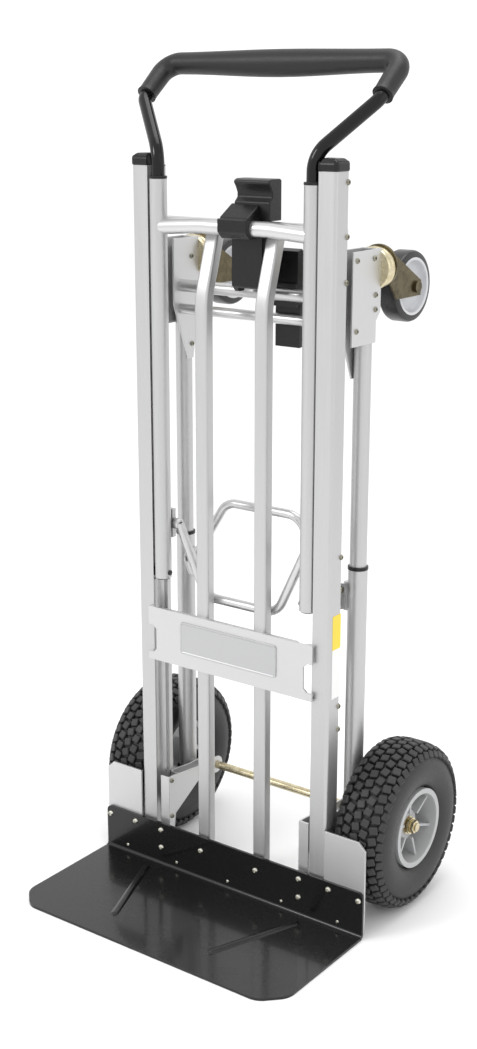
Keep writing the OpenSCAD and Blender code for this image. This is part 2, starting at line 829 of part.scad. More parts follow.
rail(-1);  // rail_left
rail(1);  // rail_right
rail_cap(-1);  // rail_cap_left
rail_cap(1);  // rail_cap_right
top_bar();
center_bar(-1);  // center_bar_left
center_bar(1);  // center_bar_right
crossplate();
badge_plate();
toe_plate();
guard(-1);  // guard_left
guard(1);  // guard_right
wheel_bracket(-1);  // wheel_bracket_left
wheel_bracket(1);  // wheel_bracket_right
axle();
axle_nuts();
toe_bolts();
frame_bolts();
latch_housing();
tyre(-1);  // tyre_left
tyre(1);  // tyre_right
wheel_hub(-1);  // wheel_hub_left
wheel_hub(1);  // wheel_hub_right
wheel_bearings(-1);  // wheel_bearings_left
wheel_bearings(1);  // wheel_bearings_right
leg_tube(-1);  // leg_tube_left
leg_tube(1);  // leg_tube_right
leg_foot(-1);  // leg_foot_left
leg_foot(1);  // leg_foot_right
leg_collar(-1);  // leg_collar_left
leg_collar(1);  // leg_collar_right
stay_bracket(-1);  // stay_bracket_left
stay_bracket(1);  // stay_bracket_right
leg_bolts();
rail_stay();
leg_stay();
caster_tube(-1);  // caster_tube_left
caster_tube(1);  // caster_tube_right
caster_bracket(-1);  // caster_bracket_left
caster_bracket(1);  // caster_bracket_right
upper_bar();
lower_bar();
caster_bolts();
leg_catch();
caster_race(-1);  // caster_race_left
caster_race(1);  // caster_race_right
caster_fork(-1);  // caster_fork_left
caster_fork(1);  // caster_fork_right
caster_tyre(-1);  // caster_tyre_left
caster_tyre(1);  // caster_tyre_right
caster_hub(-1);  // caster_hub_left
caster_hub(1);  // caster_hub_right
handle_sliders();
handle_tube(-1);  // handle_tube_left
handle_tube(1);  // handle_tube_right
handle_ends();
handle_cross_tube();
handle_bow();
handle_grip();
latch_lever();
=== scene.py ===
# %% [markdown]
# # A folding platform cart, from measured frame to finished picture
#
# This lesson dresses an aluminium truck that folds out into a platform cart. The frame has been
# measured and drawn already, so every tube, plate and wheel has its place. The lesson adds what
# drawings leave out: rounded edges, tread blocks, bolt heads, brushed metal, gloss paint, foam
# and rubber. First the frame is loaded and each drawn node is hung on the body it moves with.

import json
import math

import bmesh
import bpy
from mathutils import Matrix, Vector

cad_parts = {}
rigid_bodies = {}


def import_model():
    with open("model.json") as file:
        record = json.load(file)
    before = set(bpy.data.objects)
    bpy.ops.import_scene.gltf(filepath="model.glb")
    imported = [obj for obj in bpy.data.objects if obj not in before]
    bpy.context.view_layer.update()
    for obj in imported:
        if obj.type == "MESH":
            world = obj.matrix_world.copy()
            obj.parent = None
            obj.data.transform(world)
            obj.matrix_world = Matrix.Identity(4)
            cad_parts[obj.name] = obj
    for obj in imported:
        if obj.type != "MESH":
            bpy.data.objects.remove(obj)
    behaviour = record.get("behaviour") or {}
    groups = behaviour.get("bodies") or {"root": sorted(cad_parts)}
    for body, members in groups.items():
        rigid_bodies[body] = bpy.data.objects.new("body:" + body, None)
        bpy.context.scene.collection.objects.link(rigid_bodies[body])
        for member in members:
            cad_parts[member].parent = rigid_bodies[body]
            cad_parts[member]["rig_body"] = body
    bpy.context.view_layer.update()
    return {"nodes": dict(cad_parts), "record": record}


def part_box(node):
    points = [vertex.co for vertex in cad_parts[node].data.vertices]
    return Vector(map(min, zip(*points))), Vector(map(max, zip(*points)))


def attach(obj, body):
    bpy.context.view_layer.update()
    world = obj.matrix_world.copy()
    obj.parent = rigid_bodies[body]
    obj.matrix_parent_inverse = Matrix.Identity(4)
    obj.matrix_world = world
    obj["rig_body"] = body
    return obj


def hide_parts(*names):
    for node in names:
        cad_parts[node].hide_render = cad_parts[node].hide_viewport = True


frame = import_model()
slot_of = {part["node"]: part["material_slot"] for part in frame["record"]["subparts"]}
body_of = {node: cad["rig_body"] for node, cad in frame["nodes"].items()}
MM = 0.001

# %% [markdown]
# ## Three effects that many finishes share
#
# Drawn metal has grain that runs one way, moulded plastic has a fine even texture, and every
# finish gathers a little dust and loses a little colour on its edges. Each effect could be copied
# into every material, but a node group is built once and gets its own values wherever it is used.
# The first group gives streaks: a noise texture stretched along one direction by a Mapping node.

# %% Shared group: streaks along one direction
def new_group(name, inputs, outputs):
    group = bpy.data.node_groups.new(name, "ShaderNodeTree")
    for label, kind, value in inputs:
        socket = group.interface.new_socket(label, in_out="INPUT", socket_type=kind)
        socket.default_value = value
    for label, kind in outputs:
        group.interface.new_socket(label, in_out="OUTPUT", socket_type=kind)
    return group, group.nodes.new("NodeGroupInput"), group.nodes.new("NodeGroupOutput")


def noise(tree, scale, detail, rough=0.55):
    node = tree.nodes.new("ShaderNodeTexNoise")
    node.inputs["Scale"].default_value = scale
    node.inputs["Detail"].default_value = detail
    node.inputs["Roughness"].default_value = rough
    return node


def spread(tree, source, low, high, to_low=0.0, to_high=1.0):
    node = tree.nodes.new("ShaderNodeMapRange")
    for label, value in (("From Min", low), ("From Max", high), ("To Min", to_low), ("To Max", to_high)):
        node.inputs[label].default_value = value
    tree.links.new(source, node.inputs["Value"])
    return node.outputs["Result"]


streaks, gin, gout = new_group(
    "streaks",
    [("Stretch", "NodeSocketVector", (60, 60, 2)), ("Amount", "NodeSocketFloat", 0.1)],
    [("Tone", "NodeSocketFloat"), ("Height", "NodeSocketFloat")])
where = streaks.nodes.new("ShaderNodeTexCoord")
along = streaks.nodes.new("ShaderNodeMapping")
streaks.links.new(where.outputs["Object"], along.inputs["Vector"])
streaks.links.new(gin.outputs["Stretch"], along.inputs["Scale"])
fine = noise(streaks, 9, 6, 0.7)
streaks.links.new(along.outputs["Vector"], fine.inputs["Vector"])
swing = streaks.nodes.new("ShaderNodeMath")
swing.operation = "MULTIPLY_ADD"
centred = streaks.nodes.new("ShaderNodeMath")
centred.operation = "SUBTRACT"
centred.inputs[1].default_value = 0.5
streaks.links.new(fine.outputs["Fac"], centred.inputs[0])
streaks.links.new(centred.outputs[0], swing.inputs[0])
streaks.links.new(gin.outputs["Amount"], swing.inputs[1])
swing.inputs[2].default_value = 0.5
streaks.links.new(swing.outputs[0], gout.inputs["Tone"])
streaks.links.new(fine.outputs["Fac"], gout.inputs["Height"])
print("group", streaks.name)

# %% [markdown]
# The second group says how worn an edge is. The Bevel node gives the normal that a rounded edge
# would have. Where it differs from the true normal there is an edge, and a patchy noise breaks
# the line up, so that the wear looks like knocks and not like a drawn outline.

# %% Shared group: worn edges
wear, gin, gout = new_group(
    "edge_wear",
    [("Amount", "NodeSocketFloat", 0.5)],
    [("Mask", "NodeSocketFloat")])
rounded_off = wear.nodes.new("ShaderNodeBevel")
rounded_off.samples = 4
rounded_off.inputs["Radius"].default_value = 1.6 * MM
true_normal = wear.nodes.new("ShaderNodeNewGeometry")
agree = wear.nodes.new("ShaderNodeVectorMath")
agree.operation = "DOT_PRODUCT"
wear.links.new(rounded_off.outputs["Normal"], agree.inputs[0])
wear.links.new(true_normal.outputs["Normal"], agree.inputs[1])
edge = spread(wear, agree.outputs["Value"], 0.99, 0.86)
where = wear.nodes.new("ShaderNodeTexCoord")
patch = noise(wear, 55, 5)
wear.links.new(where.outputs["Object"], patch.inputs["Vector"])
patches = spread(wear, patch.outputs["Fac"], 0.44, 0.62)
both = wear.nodes.new("ShaderNodeMath")
both.operation = "MULTIPLY"
wear.links.new(edge, both.inputs[0])
wear.links.new(patches, both.inputs[1])
scaled = wear.nodes.new("ShaderNodeMath")
scaled.operation = "MULTIPLY"
wear.links.new(both.outputs[0], scaled.inputs[0])
wear.links.new(gin.outputs["Amount"], scaled.inputs[1])
wear.links.new(scaled.outputs[0], gout.inputs["Mask"])
print("group", wear.name)

# %% [markdown]
# The third group is dust. It settles on faces that look up, and it is cloudy at two sizes.
# It gives a mask, and each material decides how pale its dust is.

# %% Shared group: settled dust
dust, gin, gout = new_group(
    "dust",
    [("Amount", "NodeSocketFloat", 0.3)],
    [("Mask", "NodeSocketFloat")])
normal_out = dust.nodes.new("ShaderNodeNewGeometry")
split = dust.nodes.new("ShaderNodeSeparateXYZ")
dust.links.new(normal_out.outputs["Normal"], split.inputs[0])
upward = spread(dust, split.outputs["Z"], -0.4, 1.0, 0.25, 1.0)
where = dust.nodes.new("ShaderNodeTexCoord")
cloud = noise(dust, 14, 8, 0.62)
dust.links.new(where.outputs["Object"], cloud.inputs["Vector"])
clouds = spread(dust, cloud.outputs["Fac"], 0.36, 0.72)
settled = dust.nodes.new("ShaderNodeMath")
settled.operation = "MULTIPLY"
dust.links.new(upward, settled.inputs[0])
dust.links.new(clouds, settled.inputs[1])
amount = dust.nodes.new("ShaderNodeMath")
amount.operation = "MULTIPLY"
dust.links.new(settled.outputs[0], amount.inputs[0])
dust.links.new(gin.outputs["Amount"], amount.inputs[1])
dust.links.new(amount.outputs[0], gout.inputs["Mask"])
print("group", dust.name)

# %% [markdown]
# ## The finishes
#
# Every finish is a Principled shader with its colour laid up in three steps: a base colour that
# drifts a little, then the dust, then the worn edges. Roughness follows the grain and the dust. A small
# helper lays up those steps, because ten finishes need them, and each keeps its own numbers.

# %% A helper that lays up one finish
def place(tree, group, **values):
    node = tree.nodes.new("ShaderNodeGroup")
    node.node_tree = group
    for label, value in values.items():
        node.inputs[label].default_value = value
    return node


def mixed(tree, factor, low, high):
    node = tree.nodes.new("ShaderNodeMix")
    node.data_type = "RGBA"
    tree.links.new(factor, node.inputs["Factor"])
    for label, value in (("A", low), ("B", high)):
        socket = [s for s in node.inputs if s.name == label and s.type == "RGBA"][0]
        if isinstance(value, tuple):
            socket.default_value = (*value, 1)
        else:
            tree.links.new(value, socket)
    return [s for s in node.outputs if s.type == "RGBA"][0]


def finish(name, dark, light, rough, stretch, swing=0.25, metal=0.0, coat=0.0, coat_rough=0.1,
           worn=(0.5, 0.5, 0.5), wear_amount=0.4, dusty=0.12, dust_tone=(0.42, 0.41, 0.39),
           bump=0.05, bump_size=0.0002, cells=0.0, specular=0.5):
    material = bpy.data.materials.new(name)
    material.use_nodes = True
    tree = material.node_tree
    shader = tree.nodes["Principled BSDF"]
    shader.inputs["Metallic"].default_value = metal
    shader.inputs["Coat Weight"].default_value = coat
    shader.inputs["Coat Roughness"].default_value = coat_rough
    shader.inputs["Specular IOR Level"].default_value = specular
    grain = place(tree, streaks, Stretch=stretch, Amount=swing)
    colour = mixed(tree, spread(tree, grain.outputs["Tone"], 0.35, 0.65), dark, light)
    dusting = place(tree, dust, Amount=dusty).outputs["Mask"]
    colour = mixed(tree, dusting, colour, dust_tone)
    rubbed = place(tree, wear, Amount=wear_amount).outputs["Mask"]
    colour = mixed(tree, rubbed, colour, worn)
    tree.links.new(colour, shader.inputs["Base Color"])
    roughness = tree.nodes.new("ShaderNodeMath")
    roughness.operation = "MULTIPLY_ADD"
    roughness.inputs[1].default_value = 0.35
    tree.links.new(dusting, roughness.inputs[0])
    tree.links.new(spread(tree, grain.outputs["Height"], 0.3, 0.7, rough * 0.82, rough * 1.18),
                   roughness.inputs[2])
    tree.links.new(roughness.outputs[0], shader.inputs["Roughness"])
    height = grain.outputs["Height"]
    if cells:
        pores = tree.nodes.new("ShaderNodeTexVoronoi")
        pores.inputs["Scale"].default_value = cells
        where = tree.nodes.new("ShaderNodeTexCoord")
        tree.links.new(where.outputs["Object"], pores.inputs["Vector"])
        height = pores.outputs["Distance"]
    relief = tree.nodes.new("ShaderNodeBump")
    relief.inputs["Strength"].default_value = bump
    relief.inputs["Distance"].default_value = bump_size
    tree.links.new(height, relief.inputs["Height"])
    tree.links.new(relief.outputs["Normal"], shader.inputs["Normal"])
    return material


ALONG_X, ALONG_Z, EVEN = (1.2, 70, 70), (70, 70, 1.2), (30, 30, 30)
print("helper ready")

# %% [markdown]
# The aluminium is anodised, so it is bright, slightly milky and streaked along the length of
# each extrusion. The sheet parts are brushed across instead. The oxide skin scatters some light
# before it meets the metal, so Metallic stays a little under 1 and the roughness is middling.

# %% Aluminium
upright_aluminium = finish("aluminium_upright", (0.46, 0.46, 0.462), (0.58, 0.58, 0.58), 0.40,
    ALONG_Z, metal=0.85, worn=(0.56, 0.56, 0.57), wear_amount=0.3, dusty=0.05, bump=0.10)
crosswise_aluminium = finish("aluminium_crosswise", (0.54, 0.54, 0.542), (0.68, 0.68, 0.68), 0.32,
    ALONG_X, metal=0.9, worn=(0.60, 0.60, 0.61), wear_amount=0.3, dusty=0.05, bump=0.10)
sheet_aluminium = finish("aluminium_sheet", (0.54, 0.54, 0.542), (0.64, 0.64, 0.64), 0.42,
    ALONG_X, metal=0.8, worn=(0.56, 0.56, 0.57), wear_amount=0.3, dusty=0.06, bump=0.14)
badge_aluminium = finish("aluminium_badge", (0.44, 0.445, 0.45), (0.52, 0.52, 0.525), 0.38,
    ALONG_X, metal=0.85, worn=(0.70, 0.70, 0.71), wear_amount=0.3, dusty=0.05, bump=0.18)
print("four aluminium finishes")

# %% [markdown]
# The toe plate is powder coated in gloss black, which leaves a faint ripple under a clear, sharp
# reflection. A coat layer gives the sharp reflection and the bump under it gives the ripple. The
# handle bow has the same paint over a tube. Fasteners and caster parts are zinc plated and
# passivated, a metal whose colour drifts from straw on the axle to bronze on the caster forks
# and to a dull grey-green on the small bolts. The forks' bronze is also made very dark, as painted
# shade for the dark surroundings that the forks reflect under the cart.

# %% Paint and plating
toe_paint = finish("gloss_black_plate", (0.0025, 0.0025, 0.0025), (0.0045, 0.0045, 0.0045), 0.26,
    (2, 2, 2), swing=0.1, coat=0.40, coat_rough=0.10, worn=(0.02, 0.02, 0.02), wear_amount=0.2, dusty=0.02,
    dust_tone=(0.04, 0.04, 0.04), bump=0.05, bump_size=0.0004, specular=0.26)
bow_paint = finish("gloss_black_tube", (0.003, 0.003, 0.0035), (0.005, 0.005, 0.0055), 0.16, EVEN,
    coat=0.18, coat_rough=0.05, worn=(0.03, 0.03, 0.03), wear_amount=0.2, dusty=0.02,
    dust_tone=(0.04, 0.04, 0.04), bump=0.04, bump_size=0.0005, specular=0.22)
yellow_zinc = finish("yellow_zinc", (0.48, 0.41, 0.25), (0.74, 0.67, 0.47), 0.26, (9, 9, 9),
    swing=0.9, metal=1.0, worn=(0.72, 0.68, 0.56), wear_amount=0.5, dusty=0.05, bump=0.06)
# Caster forks: partly the plating's bronze tint, partly painted shade, the very dark colour stands in for
# the dark surroundings the forks reflect.
bronze_zinc_painted_shade = finish("bronze_zinc_painted_shade", (0.075, 0.062, 0.036), (0.16, 0.135, 0.080), 0.30, (9, 9, 9),
    swing=0.9, metal=1.0, worn=(0.40, 0.35, 0.22), wear_amount=0.5, dusty=0.04, bump=0.06)
bright_zinc = finish("bright_zinc", (0.50, 0.49, 0.42), (0.74, 0.73, 0.66), 0.28, (40, 40, 40),
    swing=0.9, metal=1.0, worn=(0.72, 0.71, 0.66), wear_amount=0.5, dusty=0.05, bump=0.06)
dull_zinc = finish("dull_zinc", (0.16, 0.155, 0.125), (0.34, 0.325, 0.26), 0.36, (40, 40, 40),
    swing=0.9, metal=1.0, worn=(0.50, 0.48, 0.42), wear_amount=0.5, dusty=0.06, bump=0.06)
print("six coated finishes")

# %% [markdown]
# The plastics, the foam and the rubbers are all non-metals. What sets them apart is the size of
# their relief: moulded plastic is finely stippled, closed-cell foam has pores you can just see,
# and rubber is smooth but holds dust.

# %% Plastic, foam and rubber
black_plastic = finish("black_plastic", (0.005, 0.005, 0.005), (0.010, 0.010, 0.010), 0.30, EVEN,
    worn=(0.05, 0.05, 0.05), wear_amount=0.3, dusty=0.06, dust_tone=(0.12, 0.12, 0.12), bump=0.25,
    bump_size=0.0002, cells=900, specular=0.32)
hub_plastic = finish("grey_hub_plastic", (0.37, 0.375, 0.38), (0.43, 0.435, 0.44), 0.36, EVEN,
    worn=(0.55, 0.55, 0.56), wear_amount=0.4, dusty=0.10, bump=0.12, bump_size=0.0002, cells=700)
caster_plastic = finish("pale_caster_plastic", (0.52, 0.53, 0.55), (0.60, 0.605, 0.62), 0.34, EVEN,
    worn=(0.72, 0.72, 0.73), wear_amount=0.3, dusty=0.08, bump=0.10, bump_size=0.0002, cells=700)
grip_foam = finish("grip_foam", (0.007, 0.007, 0.007), (0.012, 0.012, 0.012), 0.42, EVEN,
    worn=(0.03, 0.03, 0.03), wear_amount=0.2, dusty=0.04, dust_tone=(0.10, 0.10, 0.10), bump=0.35,
    bump_size=0.0004, cells=520, specular=0.40)
tyre_rubber = finish("tyre_rubber", (0.014, 0.014, 0.014), (0.026, 0.026, 0.026), 0.48, EVEN,
    worn=(0.08, 0.08, 0.08), wear_amount=0.5, dusty=0.18, dust_tone=(0.12, 0.12, 0.115),
    bump=0.20, bump_size=0.0003, cells=420, specular=0.42)
caster_rubber = finish("caster_rubber", (0.010, 0.010, 0.011), (0.017, 0.017, 0.018), 0.30, EVEN,
    worn=(0.06, 0.06, 0.06), wear_amount=0.3, dusty=0.10, dust_tone=(0.10, 0.10, 0.10), bump=0.10,
    specular=0.42)
print("six moulded finishes")

# %% [markdown]
# Each measured node knows the name of the finish it was drawn for. A small table turns that name
# into one of the materials above, and the nodes that keep their own mesh get it in their slot.

# %% Dress the measured nodes
finish_of = {
    "anodised": upright_aluminium, "plate_aluminium": sheet_aluminium, "toe_coat": toe_paint,
    "bow_coat": bow_paint, "zinc": yellow_zinc, "foam": grip_foam, "black_plastic": black_plastic,
    "hub_plastic": hub_plastic, "tyre": tyre_rubber, "caster_tread": caster_rubber}
crosswise = {"top_bar", "rail_stay", "leg_stay", "upper_bar", "lower_bar", "handle_cross_tube"}


def material_for(node):
    if node in crosswise:
        return crosswise_aluminium
    # The caster forks get the bronze zinc that is darkened with painted shade.
    if node.startswith("caster_fork"):
        return bronze_zinc_painted_shade
    if node in {"frame_bolts", "leg_bolts", "caster_bolts"}:
        return dull_zinc
    if node == "toe_bolts":
        return bright_zinc
    if node.startswith("caster_hub"):
        return caster_plastic
    return finish_of[slot_of[node]]


for node, cad in frame["nodes"].items():
    for material_slot in cad.material_slots:
        material_slot.material = material_for(node)
print("dressed", len(frame["nodes"]), "nodes")

# %% [markdown]
# ## Tools for new pieces
#
# A new piece is shaped in a bmesh, turned into an object at the origin, and told which body it
# rides on, and the drawn nodes it replaces are hidden. Faces are shaded smooth, with edges kept sharp
# where the surface really turns, and a Weighted Normal modifier keeps broad faces flat.

# %% Turn a bmesh into a finished piece
made = []


def piece(name, bm, body, material, nodes=(), smooth=48):
    bmesh.ops.recalc_face_normals(bm, faces=bm.faces)
    mesh = bpy.data.meshes.new(name)
    bm.to_mesh(mesh)
    bm.free()
    mesh.materials.append(material)
    mesh.shade_smooth()
    mesh.set_sharp_from_angle(angle=math.radians(smooth))
    obj = bpy.data.objects.new(name, mesh)
    bpy.context.scene.collection.objects.link(obj)
    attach(obj, body)
    if nodes:
        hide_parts(*nodes)
    made.append(obj)
    return obj


def steady_shading(obj):
    modifier = obj.modifiers.new("steady_shading", "WEIGHTED_NORMAL")
    modifier.keep_sharp = True
    return obj


# %% [markdown]
# Real sheet and castings have no knife edges. A drawn node has them all, so a copy of its mesh
# is merged, its flat triangles are dissolved into whole faces, and a small bevel runs along every
# edge that turns by more than a third of a right angle. The new piece keeps the drawn size. The
# front corners of the toe plate are ground to a wider round first, so they get a bevel of their own.

# %% Copy a drawn node and round its edges
def softened(node, width, segments=2, turn=30, smooth=48, clamp=True, corner=0):
    bm = bmesh.new()
    bm.from_mesh(frame["nodes"][node].data)
    bmesh.ops.remove_doubles(bm, verts=bm.verts, dist=2e-6)
    bmesh.ops.dissolve_limit(bm, angle_limit=math.radians(0.6), verts=bm.verts, edges=bm.edges)
    if corner:
        front = min(v.co.y for v in bm.verts)
        upright = [e for e in bm.edges if e.verts[0].co.y < front + 40 * MM
                   and abs(e.verts[0].co.z - e.verts[1].co.z) > 0.95 * e.calc_length()
                   and e.calc_face_angle(0) > math.radians(turn)]
        bmesh.ops.bevel(bm, geom=upright, affect="EDGES", offset=corner * MM,
                        offset_type="OFFSET", segments=6, profile=0.5, material=-1)
    sharp = [e for e in bm.edges if e.calc_face_angle(0) > math.radians(turn)]
    bmesh.ops.bevel(bm, geom=sharp, affect="EDGES", offset=width * MM, offset_type="OFFSET",
                    segments=segments, profile=0.5, clamp_overlap=clamp, material=-1)
    obj = piece(node + "_soft", bm, body_of[node], material_for(node), [node], smooth=smooth)
    return steady_shading(obj)


both_sides = ("left", "right")
rounding = {"rail": 0.7, "guard": 0.6, "wheel_bracket": 0.6,
            "leg_foot": 1.2, "leg_collar": 0.6, "stay_bracket": 0.6, "caster_bracket": 0.6,
            "caster_fork": 1.2}
for kind, width in rounding.items():
    for hand in both_sides:
        softened(f"{kind}_{hand}", width, segments=3 if width > 1 else 2)
for hand in both_sides:
    softened("rail_cap_" + hand, 2.4, segments=4, turn=40, smooth=66, clamp=False)
    softened("center_bar_" + hand, 4.0, segments=4, clamp=False)
softened("toe_plate", 1.0, corner=11)
for node, width in (("crossplate", 0.7), ("latch_housing", 2.0),
                    ("leg_catch", 2.0), ("handle_sliders", 0.8), ("handle_ends", 0.6)):
    softened(node, width, segments=3 if width > 1 else 2)
print("softened", len(made), "drawn nodes")

# %% [markdown]
# ## Bent tubes
#
# The two stays, the cross tube of the handle and the painted bow are tubes with rounded bends.
# A curve with a bevel depth would do, but a ring of vertices that is extruded from station to
# station also lets the tube swell or flatten on the way, which the grip needs. The stations lie
# on the corner points, with an arc of short steps at each bend.

# %% Stations along a path with rounded corners
def stations(corners, bends, steps=8, straight=1):
    points = [Vector(corners[0])]
    for before, corner, after, bend in zip(corners, corners[1:], corners[2:], bends):
        way_in = (Vector(corner) - Vector(before)).normalized()
        way_out = (Vector(after) - Vector(corner)).normalized()
        angle = way_in.angle(way_out)
        inward = (way_out - way_in * way_in.dot(way_out)).normalized()
        start = Vector(corner) - way_in * bend * math.tan(angle / 2)
        points += [start + way_in * bend * math.sin(angle * k / steps)
                   + inward * bend * (1 - math.cos(angle * k / steps)) for k in range(steps + 1)]
    points.append(Vector(corners[-1]))
    spaced = [points[0]]
    for a, b in zip(points, points[1:]):
        spaced += [a.lerp(b, k / straight) for k in range(1, straight + 1)]
    return spaced


def tube(points, radius, sides=28, shape=lambda t: (1, 1, 0), up=Vector((0, 0, 1))):
    """A closed tube. shape(t) gives its width, height and rise at share t of its length."""
    lengths = [0.0]
    for a, b in zip(points, points[1:]):
        lengths.append(lengths[-1] + (b - a).length)
    frames = []
    for i, point in enumerate(points):
        way = (points[min(i + 1, len(points) - 1)] - points[max(i - 1, 0)]).normalized()
        across = up.cross(way).normalized()
        wide, tall, rise = shape(lengths[i] / lengths[-1])
        turn = Matrix((across, way.cross(across), way)).transposed().to_4x4()
        frames.append(Matrix.Translation(point) @ turn
                      @ Matrix.Translation((0, rise, 0)) @ Matrix.Diagonal((wide, tall, 1, 1)))
    bm = bmesh.new()
    ring = bmesh.ops.create_circle(bm, segments=sides, radius=radius, matrix=frames[0])["verts"]
    edges = bm.edges[:]
    for last, following in zip(frames, frames[1:]):
        grown = bmesh.ops.extrude_edge_only(bm, edges=edges)["geom"]
        edges = [g for g in grown if isinstance(g, bmesh.types.BMEdge)]
        ring = [g for g in grown if isinstance(g, bmesh.types.BMVert)]
        bmesh.ops.transform(bm, matrix=following @ last.inverted(), verts=ring)
    bmesh.ops.holes_fill(bm, edges=[e for e in bm.edges if e.is_boundary])
    return bm


print("stations and tube are ready")

# %% [markdown]
# Each stay is a rod bent into a shallow U, with an eye at each end that turns on a bolt. The
# rod's ends run into the eyes, short thick rings made by spinning a small profile round the
# pivot. A new vertex is tagged once its ring is in place, so that the second ring's shift leaves
# the first alone. The places come from the drawn stay's box.

# %% The two stays
def ring_solid(bm, profile, axis, centre, steps=40):
    """Spins a closed outline of (along the axis, radius) pairs round an axis through centre."""
    side = Vector((0, 0, 1))
    verts = [bm.verts.new(Vector(axis) * a + side * r) for a, r in profile]
    edges = [bm.edges.new((verts[i], verts[(i + 1) % len(verts)])) for i in range(len(verts))]
    bmesh.ops.spin(bm, geom=verts + edges, cent=(0, 0, 0), axis=axis, angle=2 * math.pi,
                   steps=steps, use_merge=True)
    bmesh.ops.translate(bm, verts=[v for v in bm.verts if not v.tag], vec=centre)
    for v in bm.verts:
        v.tag = True
    return bm


STAY_R, STAY_BEND, STAY_CORNER = 7 * MM, 32 * MM, 65 * MM
for node in ("rail_stay", "leg_stay"):
    low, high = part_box(node)
    level = (low.y + high.y) / 2
    eye_z = high.z - 8.5 * MM if node == "rail_stay" else low.z + 8.5 * MM
    cross = low.z + STAY_R if node == "rail_stay" else high.z - STAY_R
    end = high.x - 9 * MM
    bm = tube(stations([(-end, level, eye_z), (-STAY_CORNER, level, cross),
                        (STAY_CORNER, level, cross), (end, level, eye_z)],
                       [STAY_BEND, STAY_BEND]), STAY_R, up=Vector((0, 1, 0)))
    for v in bm.verts:
        v.tag = True
    for side in (-1, 1):
        eye = [(a * MM, r * MM) for a, r in ((-5.5, 4), (-5.5, 7.6), (-4.6, 8.5), (4.6, 8.5),
                                            (5.5, 7.6), (5.5, 4))]
        ring_solid(bm, eye, (1, 0, 0), (side * (high.x - 5.5 * MM), level, eye_z))
    piece(node + "_rod", bm, node, crosswise_aluminium, [node])

# %% [markdown]
# The handle's cross tube runs between the two handle tubes and bows up a little in the middle,
# where the latch lever clips over it.

# %% The cross tube of the handle
low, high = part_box("handle_cross_tube")
middle_y = (low.y + high.y) / 2
top, end_z = high.z - 11 * MM, low.z + 11 * MM
bm = tube(stations([(low.x, middle_y, end_z), (-62 * MM, middle_y, top), (62 * MM, middle_y, top),
                    (high.x, middle_y, end_z)], [260 * MM, 260 * MM]), 11 * MM, sides=32)
piece("handle_cross_tube_bent", bm, "handle", crosswise_aluminium, ["handle_cross_tube"])
print("cross tube", round(high.x - low.x, 3), "m")

# %% [markdown]
# The painted bow leaves each handle tube upright, leans outwards and back to the knee, then
# forwards again to the corner and straight across. The foam grip is pushed over it from knee to
# knee. It is thickest in the middle, where its lower side dips, and each cut end has a low lip.

# %% The bow and its foam grip
grip_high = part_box("handle_grip")[1]
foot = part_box("handle_tube_right")
foot_x, foot_y = (foot[0].x + foot[1].x) / 2, (foot[0].y + foot[1].y) / 2
BOW_R, GRIP_R = 9.5 * MM, 16.5 * MM
corner_x, corner_y, corner_z = grip_high.x - GRIP_R, grip_high.y - GRIP_R, grip_high.z - GRIP_R
start = Vector((foot_x, foot_y, foot[1].z - 8 * MM))
upright = Vector((foot_x, foot_y, foot[1].z + 38 * MM))
knee = Vector((corner_x, foot_y + 52.5 * MM, foot[1].z + 109 * MM))
corner = Vector((corner_x, corner_y, corner_z))


def mirrored(points):
    return points + [Vector((-p.x, p.y, p.z)) for p in reversed(points)]


bends = [45 * MM, 25 * MM, 24 * MM]
bow_path = stations(mirrored([start, upright, knee, corner]), bends + bends[::-1], steps=10)
bm = tube(bow_path, BOW_R, sides=32, up=Vector((0, 1, 0)))
piece("handle_bow_painted", bm, "handle", bow_paint, ["handle_bow"])


def grip_shape(t):
    """The foam hangs in a broad belly in the middle, thins along the arms and ends in a lip."""
    end = min(t, 1 - t)
    middle = math.sin(math.pi * min(max((t - 0.15) / 0.70, 0), 1)) ** 2
    thick = 0.83 + 0.11 * min(end / 0.15, 1) + 0.06 * max(0, 1 - end / 0.010)
    return thick + 0.02 * middle, thick + 0.21 * middle, -1.4 * MM * middle


grip_start = knee + (corner - knee) * 0.1
grip_path = stations(mirrored([grip_start, corner]), [bends[2]] * 2, steps=10, straight=12)
bm = tube(grip_path, GRIP_R, sides=36, shape=grip_shape)
rim = [e for e in bm.edges if e.calc_face_angle(0) > math.radians(60)]
bmesh.ops.bevel(bm, geom=rim, affect="EDGES", offset=1.6 * MM, offset_type="OFFSET", segments=3,
                profile=0.5, clamp_overlap=True, material=-1)
grip = piece("handle_grip_foam", bm, "handle", grip_foam, ["handle_grip"])
print("bow", len(bow_path), "stations, grip", len(grip_path))

# %% [markdown]
# ## Road wheels
#
# The tyre is a smooth carcass with hundreds of rubber blocks on it. The carcass is one outline
# spun round the axle. A block is a cube with its edges bevelled, and a spin that duplicates
# instead of joining copies it round the wheel. Rows of blocks stand side by side, each turned a
# little and half a block behind its neighbour, so the grooves between them run in a zigzag.

# %% Tyres
BLOCKS_ROUND = 48
ROWS = ((-36.5, 0.0, -58), (-27.5, 0.5, -24), (-14, 0.0, -6), (0, 0.5, 0), (14, 0.0, 6),
        (27.5, 0.5, 24), (36.5, 0.0, 58))
CARCASS = ((26, 60), (33, 62), (39.5, 71), (42.6, 84), (42.6, 95), (39.6, 106), (33, 113.8),
           (22, 118.9), (8, 120.6))


